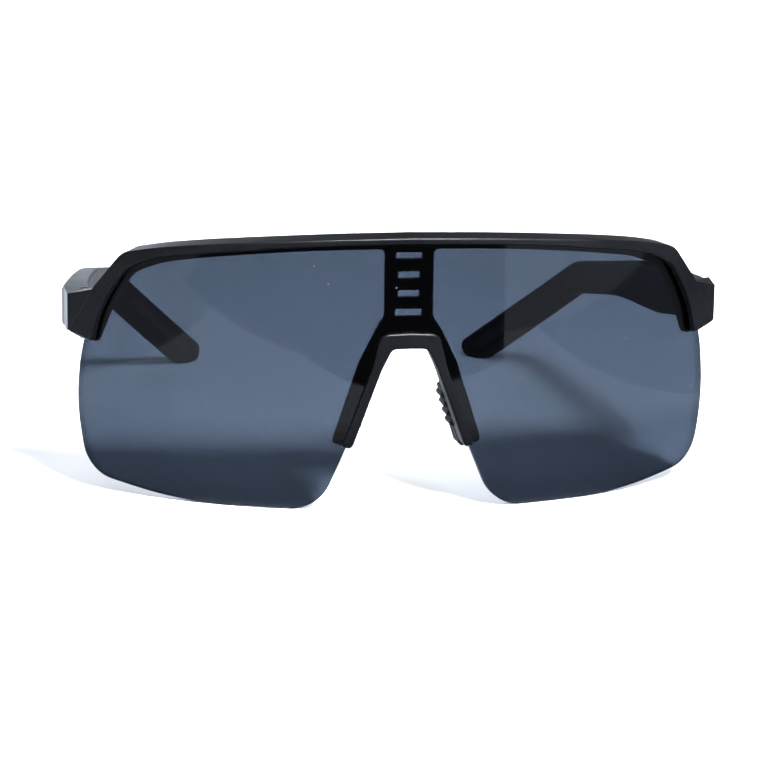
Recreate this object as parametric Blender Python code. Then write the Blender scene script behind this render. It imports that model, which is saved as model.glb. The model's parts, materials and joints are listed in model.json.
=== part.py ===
"""Wraparound sport sunglasses: one smoked shield lens in a half-rim frame with folding temples.

Sizes below are in millimetres and the meshes are built in metres.  +X is to the right of someone
who faces the lens, +Y runs from the lens back to the temple tips, +Z is up, and the table is at
z = 0.

The front is drawn flat, as (across, height, depth), and then rolled round the lens's vertical
cylinder.  A temple is drawn flat too, as (back, height, share of its thickness), and then laid
along its curved plan.  Both are rolled in narrow strips, so that every strip stays a true flat
and the gaps between neighbouring pieces stay even.
"""
import math

import bmesh
import bpy
from mathutils import Matrix, Vector

MM = 0.001
GAP = 0.3                       # air between pieces that touch on the real object

# Lens: a vertical cylinder, flat-bottomed so that the sunglasses stand on it.
LENS_RADIUS = 112.3
LENS_THICKNESS = 2.0
STRIP = 4.0                     # width of one flat strip of the rolled front

# Frame
LIP_PROUD = 2.0                 # front lip, in front of the lens
FRAME_BACK = 4.3                # depth of the frame's rear face
BROW_TOP = 63.1
SPINE_BOTTOM = 41.9
TONGUE = (2.7, 38.9, 3.2, 4.1)  # half width, lowest height, nearest and furthest depth

# Windows through the spine: middle height, half width, height
WINDOWS = ((57.8, 3.05, 1.6), (53.45, 2.5, 1.7), (49.2, 2.5, 1.7), (44.9, 3.1, 1.8))

# Nose bridge: its legs run down and out from the arch
LEG_TOP = Vector((5.2, 35.3))
LEG_SLOPE = math.radians(19.7)  # from the vertical
LIP_WIDTH = 2.2
LIP_TOP = 41.0
FLANGE_WIDTH = 4.8
LEG_LENGTH = 22.8
BRIDGE_FRONT = -1.5
FLANGE_BACK = 3.9
FIN = (2.2, 3.3, 8.6)           # nearest and furthest width across the leg, and depth

# Nose pads
PAD_START, PAD_END = 8.6, 23.4  # along the leg
PAD_THICKNESS = 2.0
PAD_FACE = -0.1                 # across the leg
PAD_BACK = 9.4
RIB_FIRST, RIB_PITCH, RIB_COUNT, RIB_RADIUS = 10.6, 2.3, 4, 0.75
PEGS_ALONG = (12.6, 19.0)
PEG_DEPTH, PEG_RADIUS, PEG_ROOM = 6.4, 0.8, 0.15

# Hinge: two leaves recessed into the inner faces of the endpiece and the temple
AXIS_X, AXIS_Y = 70.4, 34.2
KNUCKLE_COUNT, KNUCKLE_RADIUS = 3, 1.3
KNUCKLE_LOW, KNUCKLE_HEIGHT, KNUCKLE_GAP = 37.2, 2.2, 0.1
PIN_RADIUS, PIN_HOLE = 0.5, 0.58
PIN_HEAD, PIN_HEAD_HEIGHT = 1.15, 0.55
POCKET_RADIUS = 1.75
BUTT_GAP = 0.3                  # between the endpiece and the temple
PLATE_NEAR, PLATE_FAR = 69.15, 69.85
FINGER_TIP, FINGER_ROOT = 0.3, 1.85  # where a leaf's fingers end and start, from the axis
FRAME_LEAF_START = 29.7
TEMPLE_LEAF_END, TEMPLE_LEAF_LOW, TEMPLE_LEAF_HIGH = 44.3, 38.4, 42.8
LEAF_ROOM = 0.2                 # clearance round the leaves in their recesses

# Screws of the leaves, which run outwards from the inner faces
SCREW_HEIGHT = 40.6
SCREW_RADIUS, SCREW_START, SCREW_END = 0.5, 69.0, 72.6
SCREW_HEAD, SCREW_HEAD_FACE, SCREW_HEAD_START = 1.0, 0.75, 68.6
SCREW_ROOM = 0.1                # clearance round a screw
FRAME_SCREWS = (31.1,)
TEMPLE_SCREWS = (38.4, 42.2)

# Endpieces, and the reach of the cutters that shape them
ENDPIECE_LOW, ENDPIECE_HIGH = 36.4, 45.0
CUT_LOW, CUT_HIGH = 30.0, 50.0
CUT_INNER, CUT_OUTER = 60.0, 90.0

# Temples, as seen from the side and from above
TEMPLE_START = AXIS_Y + BUTT_GAP / 2
TEMPLE_END = 155.4
ELBOW_Y = 121.7
TIP_FALL = 0.865                # drop per millimetre of run behind the elbow
FOOT_START = 149.7              # where the sloping underside meets the table

# Soft inlay of a temple tip: how far back it runs, its depth and how proud it stands
GRIP_START, GRIP_END = 127.5, 148.5
GRIP_DEPTH, GRIP_PROUD = 0.8, 0.25

ROUND = 24                      # facets of a turned piece


# ---------------------------------------------------------------- outlines

def fillet(before, corner, after, radius, step=14.0):
    """Points of an arc that rounds one corner of an outline."""
    to_before, to_after = (before - corner).normalized(), (after - corner).normalized()
    half = to_before.angle(to_after) / 2
    reach = min(radius / math.tan(half), (before - corner).length * 0.49, (after - corner).length * 0.49)
    radius = reach * math.tan(half)
    centre = corner + (to_before + to_after).normalized() * (radius / math.sin(half))
    start = corner + to_before * reach - centre
    turn = math.pi - 2 * half
    if start.x * (corner - centre).y - start.y * (corner - centre).x < 0:
        turn = -turn
    count = max(2, math.ceil(abs(math.degrees(turn)) / step))
    return [centre + Matrix.Rotation(turn * k / count, 2) @ start for k in range(count + 1)]


def rounded(corners, closed=True, step=14.0):
    """An outline from (x, y) or (x, y, radius) corners, with its corners rounded."""
    points = [Vector(corner[:2]) for corner in corners]
    outline = []
    for index, corner in enumerate(corners):
        open_end = not closed and index in (0, len(corners) - 1)
        if len(corner) == 2 or open_end:
            outline.append(points[index])
            continue
        before, after = points[index - 1], points[(index + 1) % len(points)]
        outline += fillet(before, points[index], after, corner[2], step)
    return outline


def both_sides(half):
    """Close an outline drawn on the right of the centre line with its mirror image."""
    left = [Vector((-point.x, point.y)) for point in reversed(half)]
    whole = half + left
    return [p for i, p in enumerate(whole) if (p - whole[i - 1]).length > 1e-4]


def grow(outline, amount):
    """Move a closed outline outwards by an even amount."""
    area = sum(p.x * q.y - q.x * p.y for p, q in zip(outline, outline[1:] + outline[:1]))
    out = 1 if area > 0 else -1
    grown = []
    for index, point in enumerate(outline):
        into = (point - outline[index - 1]).normalized()
        onward = (outline[(index + 1) % len(outline)] - point).normalized()
        normal = Vector((into.y + onward.y, -into.x - onward.x)) * out
        stretch = 2 / max(normal.length_squared, 1.0)
        grown.append(point + normal * amount * stretch)
    return grown


def on_leg(along, across):
    """A point of the right nose leg, from how far down it and how far out across it."""
    down = Vector((math.sin(LEG_SLOPE), -math.cos(LEG_SLOPE)))
    out = Vector((math.cos(LEG_SLOPE), math.sin(LEG_SLOPE)))
    return LEG_TOP + down * along + out * across


def smooth_value(table, at):
    """Read a smooth curve through (position, value) pairs."""
    index = max(k for k in range(len(table) - 1) if k == 0 or table[k][0] <= at)
    (x0, y0), (x1, y1) = table[index], table[index + 1]
    before = table[max(index - 1, 0)]
    after = table[min(index + 2, len(table) - 1)]
    slope0 = (y1 - before[1]) / (x1 - before[0])
    slope1 = (after[1] - y0) / (after[0] - x0)
    span, t = x1 - x0, (at - x0) / (x1 - x0)
    return ((2 * t ** 3 - 3 * t ** 2 + 1) * y0 + (t ** 3 - 2 * t ** 2 + t) * span * slope0
            + (3 * t ** 2 - 2 * t ** 3) * y1 + (t ** 3 - t ** 2) * span * slope1)


# ---------------------------------------------------------------- making solids

def clear_scene():
    for old in list(bpy.data.objects):
        bpy.data.objects.remove(old, do_unlink=True)


def new_collection(name):
    collection = bpy.data.collections.new(name)
    bpy.context.scene.collection.children.link(collection)
    return collection


def material(name, colour, roughness, metallic=0.0, alpha=1.0):
    made = bpy.data.materials.new(name)
    made.use_nodes = True
    shader = made.node_tree.nodes["Principled BSDF"]
    shader.inputs["Base Color"].default_value = (*colour, 1.0)
    shader.inputs["Roughness"].default_value = roughness
    shader.inputs["Metallic"].default_value = metallic
    shader.inputs["Alpha"].default_value = alpha
    made.diffuse_color = (*colour, alpha)
    return made


def add_object(name, mesh):
    made = bpy.data.objects.new(name, mesh)
    bpy.context.scene.collection.objects.link(made)
    return made


def bake(target):
    """Replace an object by the mesh it shows, with its modifiers or its curve worked out."""
    graph = bpy.context.evaluated_depsgraph_get()
    mesh = bpy.data.meshes.new_from_object(target.evaluated_get(graph))
    made = add_object(target.name + "_mesh", mesh)
    made.matrix_world = target.matrix_world
    name = target.name
    bpy.data.objects.remove(target, do_unlink=True)
    made.name = name
    return made


def edit(target, change):
    """Run a change on an object's mesh."""
    work = bmesh.new()
    work.from_mesh(target.data)
    change(work)
    work.to_mesh(target.data)
    work.free()
    return target


def plate(name, outlines, near, far):
    """A flat plate with the given outline and holes, between two depths."""
    curve = bpy.data.curves.new(name, "CURVE")
    curve.dimensions = "2D"
    curve.fill_mode = "BOTH"
    curve.extrude = (far - near) / 2
    for outline in outlines:
        spline = curve.splines.new("POLY")
        spline.points.add(len(outline) - 1)
        for point, place in zip(spline.points, outline):
            point.co = (place.x, place.y, 0, 1)
        spline.use_cyclic_u = True
    made = bake(add_object(name, curve))

    def weld_and_lift(work):
        bmesh.ops.remove_doubles(work, verts=work.verts, dist=1e-4)
        bmesh.ops.translate(work, verts=work.verts, vec=(0, 0, (near + far) / 2))
        bmesh.ops.recalc_face_normals(work, faces=work.faces)
    return edit(made, weld_and_lift)


def box(name, low, high):
    """A box between two corners."""
    made = add_object(name, bpy.data.meshes.new(name))
    low, high = Vector(low), Vector(high)

    def build(work):
        bmesh.ops.create_cube(work, size=1.0)
        bmesh.ops.scale(work, verts=work.verts, vec=high - low)
        bmesh.ops.translate(work, verts=work.verts, vec=(low + high) / 2)
    return edit(made, build)


def rod(name, start, end, radius, end_radius=None, facets=ROUND):
    """A round rod, or a cone, from one point to another."""
    made = add_object(name, bpy.data.meshes.new(name))
    start, end = Vector(start), Vector(end)
    turn = (end - start).to_track_quat("Z", "Y").to_matrix().to_4x4()

    def build(work):
        bmesh.ops.create_cone(work, cap_ends=True, segments=facets, radius1=radius,
                              radius2=radius if end_radius is None else end_radius,
                              depth=(end - start).length)
        bmesh.ops.transform(work, verts=work.verts,
                            matrix=Matrix.Translation((start + end) / 2) @ turn)
    return edit(made, build)


def combine(target, others, operation):
    """Join pieces to a solid, or cut them out of it."""
    for other in others:
        modifier = target.modifiers.new(operation.title(), "BOOLEAN")
        modifier.operation = operation
        modifier.solver = "EXACT"
        modifier.object = other
        target = bake(target)
        bpy.data.objects.remove(other, do_unlink=True)

    def tidy(work):
        bmesh.ops.remove_doubles(work, verts=work.verts, dist=1e-4)
        bmesh.ops.triangulate(work, faces=work.faces)
    return edit(target, tidy)


def join(target, *others):
    return combine(target, others, "UNION")


def cut(target, *others):
    return combine(target, others, "DIFFERENCE")


def lay(target, stations, place, flip):
    """Slice a flat solid at the stations and move each point to its place in space."""
    def change(work):
        for station in stations:
            geometry = work.verts[:] + work.edges[:] + work.faces[:]
            bmesh.ops.bisect_plane(work, geom=geometry, plane_co=(station, 0, 0), plane_no=(1, 0, 0),
                                   dist=1e-5)
        for vertex in work.verts:
            vertex.co = place(*vertex.co)
        if flip:
            bmesh.ops.reverse_faces(work, faces=work.faces)
        bmesh.ops.dissolve_limit(work, angle_limit=math.radians(0.2), verts=work.verts,
                                 edges=work.edges)
        bmesh.ops.triangulate(work, faces=work.faces)
    return edit(target, change)


def between(stations, at, value):
    """A value that runs straight from one station to the next."""
    low = max([s for s in stations if s <= at + 1e-6], default=stations[0])
    high = min([s for s in stations if s > low + 1e-6], default=low)
    if high == low:
        return value(low)
    share = (at - low) / (high - low)
    return value(low) * (1 - share) + value(high) * share


FRONT_STATIONS = [STRIP * k for k in range(-22, 23)]


def place_front(across, height, depth):
    """Roll a point of the flat front round the lens's cylinder."""
    def rim(station):
        angle = station / LENS_RADIUS
        radius = LENS_RADIUS - depth
        return Vector((radius * math.sin(angle), LENS_RADIUS - radius * math.cos(angle), height))
    return between(FRONT_STATIONS, across, rim)


def roll_front(target):
    return lay(target, FRONT_STATIONS, place_front, flip=True)


def mirrored(target, name):
    """The left-hand twin of a right-hand piece."""
    mesh = target.data.copy()
    mesh.transform(Matrix.Scale(-1, 4, Vector((1, 0, 0))))
    mesh.flip_normals()
    return add_object(name, mesh)


# ---------------------------------------------------------------- front

def lens_outline(grown=0.0):
    """Right half: up the nose notch, round the lobe, up the side and along the brow."""
    notch = on_leg(0, 1.2)
    notch_foot = on_leg(20.6, 1.2)
    half = [(0, 38.6), (notch.x - 1.4, 38.6, 2.2), (notch_foot.x, notch_foot.y),
            (20.1, 0, 14.5), (34, 0), (46, 0), (58, 1.25), (76.3, 4.2, 9.5), (79.65, 19.5, 16),
            (77.9, 34.0, 30), (73.6, 43.6, 14), (66.4, 54.6, 9), (57.5, 57.8, 30), (44, 59.5),
            (30, 60.9), (15, 61.9), (0, 62.2)]
    outline = both_sides(rounded(half, closed=False, step=9.0))
    return grow(outline, grown) if grown else outline


# Inner edges of the rim, from the lower tip up and in: in front of the lens and behind it
FRONT_EDGE = [(75.6, 35.0, 0.8), (73.5, 35.2, 0.6), (72.4, 40.7, 20), (69.6, 46.0, 30),
              (65.2, 52.4, 8), (57.5, 56.0, 20), (44, 57.9), (30, 59.7), (15, 60.9), (0, 61.1)]
REAR_EDGE = [(77.6, 34.3, 1.0), (75.8, 33.9, 1.0), (73.9, 37.4, 10), (70.6, 44.3, 20),
             (65.6, 51.0, 8), (57.5, 54.4, 20), (44, 56.6), (30, 58.2), (15, 59.2)]
SPINE_EDGE = [(5.6, 59.4, 1.3), (5.6, 43.9, 3), (7.1, SPINE_BOTTOM), (0, SPINE_BOTTOM)]


def rim_outline():
    """The brow and its endpieces, with the spine that runs down behind the lens."""
    outer = [(0, BROW_TOP), (15, 62.8), (30, 61.9), (45, 60.5), (57, 58.9), (65.8, 57.0, 6),
             (74.0, 47.7, 2), (79.95, 45.5), (84, 45.5), (84, 37.0), (80.4, 37.0)]
    return both_sides(rounded(outer + REAR_EDGE + SPINE_EDGE, closed=False, step=12.0))


def front_opening():
    """What the front lip leaves open."""
    around = [(0, 20), (95, 20), (95, 43.1)]
    return both_sides(rounded(around + FRONT_EDGE, closed=False, step=12.0))


def window(height, half_width, tall):
    low, high = height - tall / 2, height + tall / 2
    corners = [(-half_width, low, 0.2), (half_width, low, 0.2), (half_width, high, 0.2),
               (-half_width, high, 0.2)]
    return rounded(corners, step=45.0)


def endpiece_block(name):
    """The block behind the right end of the brow that carries the hinge."""
    plan = [Vector(p) for p in ((69.1, 28.5), (72.0, 28.5), (74.2, 27.6), (77.0, 29.5),
                                (77.0, AXIS_Y - BUTT_GAP / 2), (69.1, AXIS_Y - BUTT_GAP / 2))]
    return plate(name, [plan], ENDPIECE_LOW, ENDPIECE_HIGH)


def side_trim(name):
    """What lies outside the right endpiece's nearly straight outer side."""
    front, rear = (74.65, 22.0), (75.55, 36.0)
    plan = [Vector(p) for p in (front, rear, (CUT_OUTER, rear[1]), (CUT_OUTER, front[1]))]
    return plate(name, [plan], CUT_LOW, CUT_HIGH)


def hinge_pocket():
    """Room round the right hinge's knuckles, open towards the wearer."""
    barrel = rod("pocket", (AXIS_X, AXIS_Y, CUT_LOW), (AXIS_X, AXIS_Y, CUT_HIGH), POCKET_RADIUS)
    mouth = box("mouth", (CUT_INNER, AXIS_Y - POCKET_RADIUS, CUT_LOW),
                (AXIS_X, AXIS_Y + POCKET_RADIUS, CUT_HIGH))
    return join(barrel, mouth)


def leaf_screw(name, back, radius, start, end):
    """A rod outwards through a leaf, at one of its screws."""
    return rod(name, (start, back, SCREW_HEIGHT), (end, back, SCREW_HEIGHT), radius, facets=12)


def leaf_screw_holes(backs):
    return [leaf_screw("screw_hole", back, SCREW_RADIUS + SCREW_ROOM, SCREW_START, SCREW_END + GAP)
            for back in backs]


def both_hands(pieces):
    return pieces + [mirrored(piece, piece.name + "_left") for piece in pieces]


def make_brow_frame():
    windows = [window(*size) for size in WINDOWS]
    frame = plate("brow_frame", [rim_outline()] + windows, -LIP_PROUD, FRAME_BACK)
    opening = plate("opening", [front_opening()], -LIP_PROUD - 1.0, LENS_THICKNESS / 2)
    groove = plate("groove", [lens_outline(GAP)], -GAP, LENS_THICKNESS + GAP)
    half, low, near, far = TONGUE
    tongue = box("tongue", (-half, low, near), (half, SPINE_BOTTOM + 1.0, far))
    frame = join(cut(frame, opening, groove), tongue)
    frame = roll_front(frame)
    blocks = both_hands([endpiece_block("block")])
    recess = box("recess", (CUT_INNER, FRAME_LEAF_START - LEAF_ROOM, KNUCKLE_LOW - LEAF_ROOM),
                 (PLATE_FAR + LEAF_ROOM, AXIS_Y, knuckle_top() + LEAF_ROOM))
    cutters = [side_trim("trim"), hinge_pocket(), recess] + leaf_screw_holes(FRAME_SCREWS)
    return cut(join(frame, *blocks), *both_hands(cutters))


def make_lens():
    return roll_front(plate("shield_lens", [lens_outline()], 0.0, LENS_THICKNESS))


def bridge_outline():
    """The arch and legs behind the lens, which are the nose bridge's widest layer."""
    half = [(0, 37.4), (LEG_TOP.x - 1.3, 37.3, 1.4), tuple(on_leg(0.6, 0)),
            (*on_leg(LEG_LENGTH, 0), 0.5), (*on_leg(LEG_LENGTH, FLANGE_WIDTH), 2.0),
            (*on_leg(2.0, 5.3), 8), (7.2, SPINE_BOTTOM - GAP), (0, SPINE_BOTTOM - GAP)]
    return both_sides(rounded(half, closed=False))


def lip_surround():
    """All round the nose bridge's front lip, which is narrower than the rest."""
    foot = LEG_LENGTH - 1.2
    half = [(0, LIP_TOP), (LEG_TOP.x + 1.6, LIP_TOP - 0.4, 2.2), tuple(on_leg(0.6, LIP_WIDTH)),
            (*on_leg(foot, LIP_WIDTH), 1.2), tuple(on_leg(foot, -3.0)), (0, 10.0)]
    around = [Vector(p) for p in ((-30, 0), (30, 0), (30, 60), (-30, 60))]
    return [around, both_sides(rounded(half, closed=False))]


def pad_pegs(name, radius, start, end):
    """The two pegs that hold a right nose pad, as rods across the leg."""
    rods = []
    for index, along in enumerate(PEGS_ALONG):
        points = [(*on_leg(along, across), PEG_DEPTH) for across in (start, end)]
        rods.append(rod("%s_%d" % (name, index), *points, radius, facets=12))
    return rods


def leg_plate(name, start, end, near, far, front, back):
    """A straight bar down the right leg."""
    corners = [on_leg(start, near), on_leg(start, far), on_leg(end, far), on_leg(end, near)]
    return plate(name, [rounded([(*corner, 0.5) for corner in corners])], front, back)


def make_nose_bridge():
    bridge = plate("nose_bridge", [bridge_outline()], BRIDGE_FRONT, FLANGE_BACK)
    surround = plate("surround", lip_surround(), BRIDGE_FRONT - 1.0, LENS_THICKNESS / 2)
    groove = plate("groove", [lens_outline(GAP)], -GAP, LENS_THICKNESS + GAP)
    clasp = box("clasp", (-4.2, 37.9, 3.0), (4.2, SPINE_BOTTOM - 2 * GAP, 5.2))
    half, low, near, far = TONGUE
    slot = box("slot", (-half - GAP, low - GAP, near - GAP), (half + GAP, 45.0, far + GAP))
    fin = leg_plate("fin", 9.6, 22.0, FIN[0], FIN[1], 3.0, FIN[2])
    holes = both_hands(pad_pegs("peg_hole", PEG_RADIUS + PEG_ROOM, FIN[0] - 0.3, FIN[1] + 0.9))
    bridge = join(cut(bridge, surround, groove), clasp, *both_hands([fin]))
    return roll_front(cut(bridge, slot, *holes))


def make_nose_pad():
    """The right nose pad: a soft block with cross ribs on its nose side."""
    face = [(*on_leg(PAD_START, PAD_FACE), 0.6)]
    for index in range(RIB_COUNT):
        middle = RIB_FIRST + RIB_PITCH * index
        for k in range(7):
            angle = math.pi * k / 6
            face.append(tuple(on_leg(middle - RIB_RADIUS * math.cos(angle),
                                     PAD_FACE - RIB_RADIUS * 0.8 * math.sin(angle))))
    face += [(*on_leg(PAD_END, PAD_FACE), 1.2), (*on_leg(PAD_END, PAD_FACE + PAD_THICKNESS), 0.8),
             (*on_leg(PAD_START, PAD_FACE + PAD_THICKNESS), 0.8)]
    pad = plate("nose_pad_right", [rounded(face, step=30.0)], FLANGE_BACK + GAP, PAD_BACK)
    pegs = pad_pegs("peg", PEG_RADIUS, PAD_FACE + PAD_THICKNESS - 0.6, FIN[1])
    return roll_front(join(pad, *pegs))


# ---------------------------------------------------------------- hinge

def knuckle_low(index):
    """Height of a knuckle's lower end, counting from the lowest knuckle."""
    return KNUCKLE_LOW + index * (KNUCKLE_HEIGHT + KNUCKLE_GAP)


def knuckle_top():
    return knuckle_low(KNUCKLE_COUNT - 1) + KNUCKLE_HEIGHT


def knuckle(index):
    low = knuckle_low(index)
    return rod("knuckle", (AXIS_X, AXIS_Y, low), (AXIS_X, AXIS_Y, low + KNUCKLE_HEIGHT), KNUCKLE_RADIUS)


def finger(index, side):
    """Corners of the finger that carries a knuckle, a little inside the knuckle's own ends."""
    low = knuckle_low(index) + KNUCKLE_GAP / 2
    high = low + KNUCKLE_HEIGHT - KNUCKLE_GAP
    root, tip = AXIS_Y + side * FINGER_ROOT, AXIS_Y + side * FINGER_TIP
    return (root, low), (tip, low), (tip, high), (root, high)


def place_across(back, height, depth):
    """Stand a flat drawing, as (back, height), up along the temple."""
    return Vector((depth, back, height))


def leaf(name, outline, knuckles, screws):
    """A hinge leaf: a flat plate with fingers, its knuckles and its holes."""
    made = lay(plate(name, [[Vector(p) for p in outline]], PLATE_NEAR, PLATE_FAR), [], place_across, False)
    made = join(made, *[knuckle(index) for index in knuckles])
    bore = rod("bore", (AXIS_X, AXIS_Y, CUT_LOW), (AXIS_X, AXIS_Y, CUT_HIGH), PIN_HOLE)
    holes = [leaf_screw("hole", back, SCREW_RADIUS + SCREW_ROOM, PLATE_NEAR - 1, PLATE_FAR + 1)
             for back in screws]
    return cut(made, bore, *holes)


def make_frame_leaf():
    """The leaf in the endpiece, with the lowest and the highest knuckle."""
    lower, upper = finger(0, -1), finger(KNUCKLE_COUNT - 1, -1)
    outline = [(FRAME_LEAF_START, lower[1][1]), *lower[1:], *upper[:3], (FRAME_LEAF_START, upper[2][1])]
    return leaf("hinge_frame_leaf_right", outline, (0, KNUCKLE_COUNT - 1), FRAME_SCREWS)


def make_temple_leaf():
    """The leaf in the temple, with the knuckle between the other two."""
    root, tip, tip_top, root_top = finger(1, 1)
    outline = [tip, root, (root[0], TEMPLE_LEAF_LOW), (TEMPLE_LEAF_END, TEMPLE_LEAF_LOW),
               (TEMPLE_LEAF_END, TEMPLE_LEAF_HIGH), (root[0], TEMPLE_LEAF_HIGH), root_top, tip_top]
    return leaf("hinge_temple_leaf_right", outline, (1,), TEMPLE_SCREWS)


def make_hinge_screw():
    """The slotted screw that the hinge turns on."""
    start, end = knuckle_low(0) - 0.2, knuckle_top() + 0.3
    head_low = knuckle_top() + KNUCKLE_GAP
    head_high = head_low + PIN_HEAD_HEIGHT
    shank = rod("hinge_screw_right", (AXIS_X, AXIS_Y, start), (AXIS_X, AXIS_Y, end), PIN_RADIUS)
    head = rod("head", (AXIS_X, AXIS_Y, head_low), (AXIS_X, AXIS_Y, head_high), PIN_HEAD, PIN_HEAD - 0.15)
    slot = box("slot", (AXIS_X - 2, AXIS_Y - 0.15, head_high - 0.25),
               (AXIS_X + 2, AXIS_Y + 0.15, head_high + 1))
    return cut(join(shank, head), slot)


def make_leaf_screw(name, back):
    shank = leaf_screw(name, back, SCREW_RADIUS, SCREW_START, SCREW_END)
    head = rod("head", (SCREW_HEAD_START, back, SCREW_HEIGHT), (SCREW_START + 0.05, back, SCREW_HEIGHT),
               SCREW_HEAD_FACE, SCREW_HEAD, facets=16)
    return join(shank, head)


def make_hinge():
    """The right hinge: two leaves, the screw they turn on, and the leaves' own screws."""
    names = ["frame_leaf_screw_right", "temple_leaf_screw_front_right", "temple_leaf_screw_rear_right"]
    screws = [make_leaf_screw(name, back) for name, back in zip(names, FRAME_SCREWS + TEMPLE_SCREWS)]
    return [make_frame_leaf(), make_temple_leaf(), make_hinge_screw()] + screws


# ---------------------------------------------------------------- temples

INNER_PLAN = ((TEMPLE_START, 69.1), (46, 69.1), (60, 67.7), (75, 65.9), (100, 62.5), (114, 60.5),
              (122, 58.6), (129, 53.9), (TEMPLE_END, 34.0))
OUTER_PLAN = ((TEMPLE_START, 75.5), (38.5, 75.8), (46, 75.0), (60, 72.9), (75, 70.7), (100, 67.1),
              (114, 65.1), (122, 63.3), (129, 58.8), (TEMPLE_END, 39.0))
TEMPLE_STATIONS = ([TEMPLE_START, 38.5, 42.0, 46.0, 53.0, 60.0, 67.5, 75.0, 83.0, 91.0, 100.0, 107.0]
                   + [114.0 + 2.5 * k for k in range(7)] + [136.0, 143.0, 150.0, TEMPLE_END])


def underside(back, above=0.0):
    """Height of the sloping underside behind the elbow."""
    return max(0.0, (FOOT_START - back) * TIP_FALL) + above


def place_temple(back, height, share):
    """Put a point of the flat temple in space; share runs from the inner face to the outer."""
    inner = between(TEMPLE_STATIONS, back, lambda y: smooth_value(INNER_PLAN, y))
    outer = between(TEMPLE_STATIONS, back, lambda y: smooth_value(OUTER_PLAN, y))
    return Vector((inner + share * (outer - inner), back, height))


def place_inlay(back, height, depth):
    """Put a point at a depth in millimetres below the temple's inner face."""
    inner = between(TEMPLE_STATIONS, back, lambda y: smooth_value(INNER_PLAN, y))
    return Vector((inner + depth, back, height))


def temple_outline():
    return rounded([(TEMPLE_START, 44.8, 0.5), (60, 43.1, 30), (76, 41.2, 40), (ELBOW_Y, 32.1, 13),
                    (TEMPLE_END, 2.9, 1.6), (152.6, 0.0, 1.5), (FOOT_START, 0.0),
                    (122.6, underside(122.6), 5), (88, 29.9, 40), (71, 30.9, 12), (58, 31.8, 9),
                    (TEMPLE_START, 36.1, 0.5)], step=11.0)


def grip_outline(grown=0.0):
    """The soft inlay along the lower half of the tip's inner face."""
    lean = 1.2
    corners = [(GRIP_START, underside(GRIP_START, 1.3), 1.2), (GRIP_END, underside(GRIP_END, 1.6), 1.0),
               (GRIP_END + lean, underside(GRIP_END, 4.0), 1.2),
               (GRIP_START + lean, underside(GRIP_START, 3.6), 1.2)]
    outline = rounded(corners, step=20.0)
    return grow(outline, grown) if grown else outline


def make_temple():
    temple = lay(plate("temple_right", [temple_outline()], 0.0, 1.0), TEMPLE_STATIONS, place_temple, False)
    recess = box("recess", (CUT_INNER, AXIS_Y, TEMPLE_LEAF_LOW - GAP),
                 (PLATE_FAR + LEAF_ROOM, TEMPLE_LEAF_END + GAP, TEMPLE_LEAF_HIGH + GAP))
    inlay = lay(plate("inlay", [grip_outline(GAP)], -2.0, GRIP_DEPTH + GAP), TEMPLE_STATIONS,
                place_inlay, False)
    return cut(temple, hinge_pocket(), recess, inlay, *leaf_screw_holes(TEMPLE_SCREWS))


def make_grip():
    return lay(plate("temple_grip_right", [grip_outline()], -GRIP_PROUD, GRIP_DEPTH), TEMPLE_STATIONS,
               place_inlay, False)


# ---------------------------------------------------------------- assembly

def finish(piece, finish_material, collection):
    """Weld a piece, shade its round faces smooth, scale it to metres and file it."""
    def weld(work):
        bmesh.ops.remove_doubles(work, verts=work.verts, dist=2e-4)
        bmesh.ops.dissolve_degenerate(work, dist=1e-4, edges=work.edges)
        bmesh.ops.recalc_face_normals(work, faces=work.faces)
        bmesh.ops.scale(work, verts=work.verts, vec=(MM, MM, MM))
    edit(piece, weld)
    piece.data.shade_smooth()
    piece.data.set_sharp_from_angle(angle=math.radians(30))
    piece.data.materials.clear()
    piece.data.materials.append(finish_material)
    for home in list(piece.users_collection):
        home.objects.unlink(piece)
    collection.objects.link(piece)


def empty(name, place, parent, collection):
    made = bpy.data.objects.new(name, None)
    made.location = place
    made.parent = parent
    collection.objects.link(made)
    return made


def stand_on_origin(root, pieces):
    """Move the assembly so that the origin is the middle of its footprint, on the table."""
    points = [corner for piece in pieces for corner in (v.co for v in piece.data.vertices)]
    low, high = min(p.y for p in points), max(p.y for p in points)
    root.location = (0, -(low + high) / 2, 0)


def main():
    clear_scene()
    collection = new_collection("sport_sunglasses")
    plastic = material("satin_black_plastic", (0.022, 0.024, 0.029), 0.42)
    smoke = material("smoke_lens", (0.12, 0.16, 0.22), 0.05, alpha=0.45)
    rubber = material("soft_black_rubber", (0.03, 0.03, 0.033), 0.75)
    steel = material("dark_steel", (0.33, 0.33, 0.35), 0.35, metallic=1.0)

    front = [(make_brow_frame(), plastic), (make_lens(), smoke), (make_nose_bridge(), plastic)]
    moving = {"temple_right", "temple_grip_right", "hinge_temple_leaf_right",
              "temple_leaf_screw_front_right", "temple_leaf_screw_rear_right"}
    right = [(make_nose_pad(), rubber), (make_temple(), plastic), (make_grip(), rubber)]
    right += [(piece, steel) for piece in make_hinge()]
    left = [(mirrored(piece, piece.name.replace("_right", "_left")), finish_material)
            for piece, finish_material in right]

    for piece, finish_material in front + right + left:
        finish(piece, finish_material, collection)

    root = empty("sunglasses_origin", (0, 0, 0), None, collection)
    stand_on_origin(root, [piece for piece, _ in front + right + left])
    for side, sign, pieces in (("right", 1, right), ("left", -1, left)):
        axis = empty("hinge_axis_" + side, (sign * AXIS_X * MM, AXIS_Y * MM, 0), root, collection)
        for piece, _ in pieces:
            turns = piece.name.replace("_left", "_right") in moving
            piece.parent = axis if turns else root
            if turns:
                piece.data.transform(Matrix.Translation(-axis.location))
    for piece, _ in front:
        piece.parent = root


main()
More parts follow.
